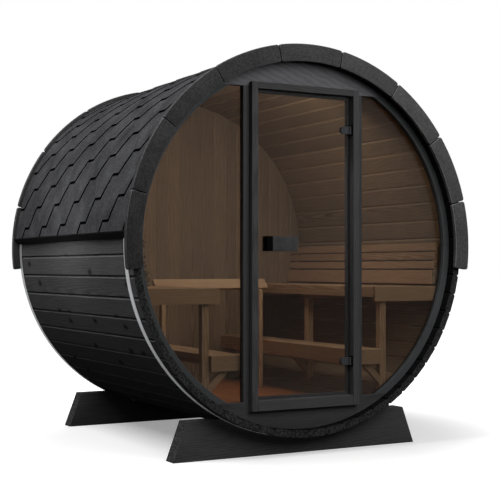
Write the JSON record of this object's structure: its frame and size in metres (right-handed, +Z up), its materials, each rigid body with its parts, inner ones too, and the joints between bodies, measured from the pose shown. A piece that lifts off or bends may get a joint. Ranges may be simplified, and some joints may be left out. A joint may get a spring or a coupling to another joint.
{
  "type": "barrel sauna",
  "caption": "Round cabin of bevelled staves on two cradles, with a shingled half roof, a bronze glass front, a hinged glass door and two-tier benches.",
  "frame": {"origin": "on the ground, under the middle of the barrel's length", "axes": "+X to the right seen from the front, +Y from the front to the back, +Z up"},
  "size_m": [2.3318, 2.01, 2.384],
  "materials": {
    "black_wood": "black stained sawn softwood",
    "natural_wood": "planed, untreated",
    "bronze_glass": "toughened, bronze tinted",
    "band_steel": "stainless, rolled",
    "shingle": "mineral granules on bitumen",
    "black_metal": "black powder coat"
  },
  "bodies": {
    "sauna": {"cradle_front": "black_wood", "cradle_rear": "black_wood", "staves_1": "black_wood", "staves_2": "black_wood", "staves_3": "black_wood", "staves_4": "black_wood", "staves_5": "black_wood", "staves_6": "black_wood", "band_front": "band_steel", "band_rear": "band_steel", "roof_deck_left": "black_wood", "roof_deck_right": "black_wood", "eave_strips": "black_wood", "shingles_left": "shingle", "shingles_right": "shingle", "fascia_front": "black_wood", "fascia_rear": "black_wood", "front_head_panel": "black_wood", "front_sill_panel": "black_wood", "front_ring_left": "black_wood", "front_ring_right": "black_wood", "front_post_left": "black_wood", "front_post_right": "black_wood", "side_glass_left": "bronze_glass", "side_glass_right": "bronze_glass", "door_jambs": "black_wood", "door_head": "black_wood", "door_sill": "black_wood", "hinge_brackets": "black_metal", "rear_wall": "black_wood", "floor": "natural_wood", "upper_bench_left": "natural_wood", "upper_bench_right": "natural_wood", "lower_bench_left": "natural_wood", "lower_bench_right": "natural_wood", "bench_legs_left": "natural_wood", "bench_legs_right": "natural_wood", "backrest_left": "natural_wood", "backrest_right": "natural_wood", "guard_rail": "natural_wood"},
    "door": {"door_glass": "bronze_glass", "hinge_clamps": "black_metal", "handle_outside": "black_metal", "handle_inside": "black_metal"}
  },
  "joints": [
    {"name": "door_hinge", "type": "hinge", "parent": "sauna", "child": "door", "pos_m": [0.315, -0.934, 1.218], "axis": [0, 0, 1], "range_deg": [0, 90]}
  ]
}
